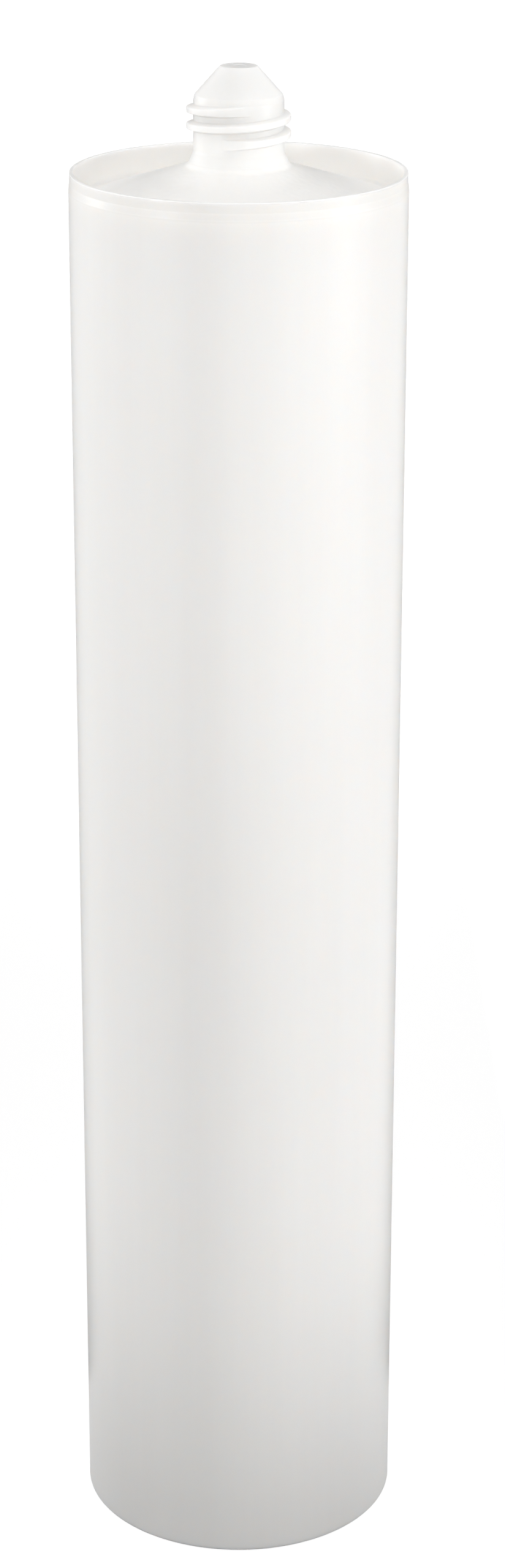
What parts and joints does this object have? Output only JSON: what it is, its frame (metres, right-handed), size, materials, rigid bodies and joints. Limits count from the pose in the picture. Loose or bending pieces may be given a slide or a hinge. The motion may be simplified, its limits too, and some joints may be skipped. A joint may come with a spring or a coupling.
{
  "type": "adhesive cartridge",
  "caption": "Plain white plastic adhesive cartridge: a long open-ended barrel with a recessed conical head, a threaded neck with a closed tip, and a sliding piston.",
  "frame": {"origin": "centre of the barrel's open rear edge, on the surface the cartridge stands on", "axes": "+Z along the barrel's axis, from the open rear edge to the neck"},
  "size_m": [0.0494, 0.0494, 0.2319],
  "materials": {
    "cartridge_body": "satin",
    "piston": "satin"
  },
  "bodies": {
    "barrel": {"cartridge_body": "cartridge_body"},
    "follower": {"piston": "piston"}
  },
  "joints": [
    {"name": "piston_slide", "type": "slide", "parent": "barrel", "child": "follower", "axis": [0, 0, 1], "range_m": [0, 0.1865]}
  ]
}
